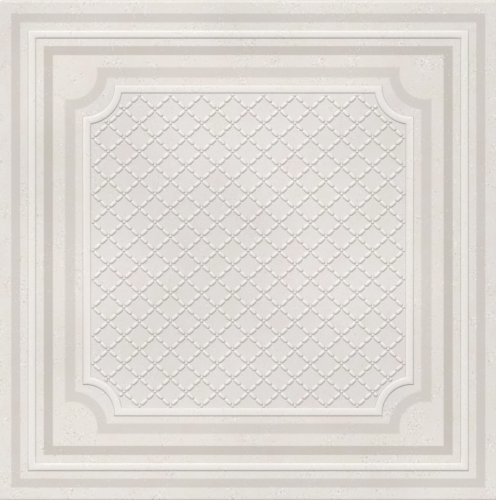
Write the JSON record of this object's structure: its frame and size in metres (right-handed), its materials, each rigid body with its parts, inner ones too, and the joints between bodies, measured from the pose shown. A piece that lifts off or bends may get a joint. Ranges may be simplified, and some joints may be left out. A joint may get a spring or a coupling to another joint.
{
  "type": "decorative tile",
  "caption": "Square glazed ceramic tile with a raised square moulding, a panel moulding with scooped corners and a beaded diamond trellis, grooved on the back to key the adhesive.",
  "frame": {"origin": "middle of the back, on the plane of the ribs the tile lies on", "axes": "+Z out of the glazed face, +X and +Y along two neighbouring sides of the square"},
  "size_m": [0.4, 0.4, 0.0092],
  "materials": {
    "glazed_face": "satin cream glaze with printed taupe bands on a fired ceramic body"
  },
  "bodies": {
    "root": {"tile": "glazed_face"}
  },
  "joints": []
}
